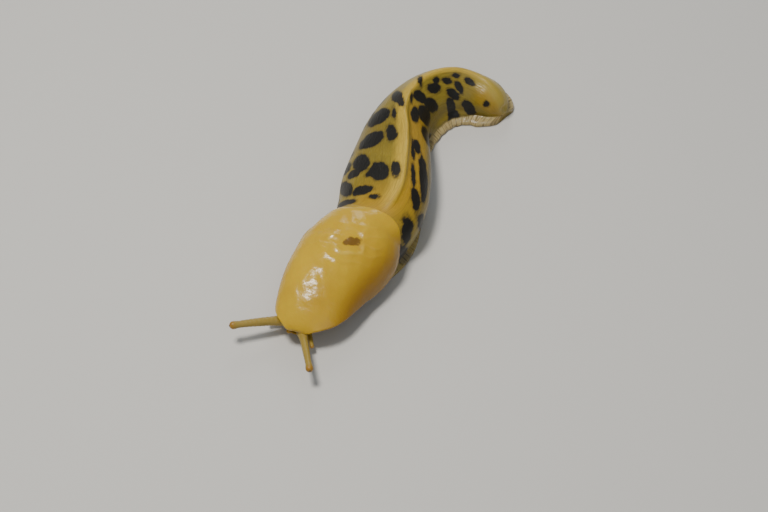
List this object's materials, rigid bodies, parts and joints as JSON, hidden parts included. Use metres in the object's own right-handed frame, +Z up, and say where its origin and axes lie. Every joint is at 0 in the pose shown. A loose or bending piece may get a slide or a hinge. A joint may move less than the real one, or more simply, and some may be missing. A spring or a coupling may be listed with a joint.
{
  "type": "banana slug",
  "caption": "Life-size banana slug crawling in a bend, smooth yellow mantle drawn over the head, dark-spotted keeled back, two long and two short tentacles, flat sole.",
  "frame": {"origin": "on the flat sole, under the middle of the mantle, at floor level", "axes": "+Z up from the floor; the head faces -Y and the tail trails towards +Y, bending at its end to +X; +X is the slug's left side"},
  "size_m": [0.0449, 0.1468, 0.0207],
  "materials": {
    "skin_mantle": "wet, smooth, warm yellow",
    "skin": "wet, finely grooved, olive yellow with dark brown spots",
    "skin_sole": "wet, pale, finely cross-lined fringe and flat sole",
    "skin_tentacle": "moist, translucent-looking amber grey",
    "eye": "glossy, nearly black"
  },
  "bodies": {
    "root": {"head": "skin", "neck": "skin", "trunk_front": "skin", "trunk_middle": "skin", "trunk_rear": "skin", "tail": "skin", "mantle": "skin_mantle", "foot_front": "skin_sole", "foot_middle": "skin_sole", "foot_rear": "skin_sole", "foot_tail": "skin_sole", "optic_tentacle_left": "skin_tentacle", "optic_tentacle_right": "skin_tentacle", "oral_tentacle_left": "skin_tentacle", "oral_tentacle_right": "skin_tentacle", "eye_left": "eye", "eye_right": "eye"}
  },
  "joints": []
}
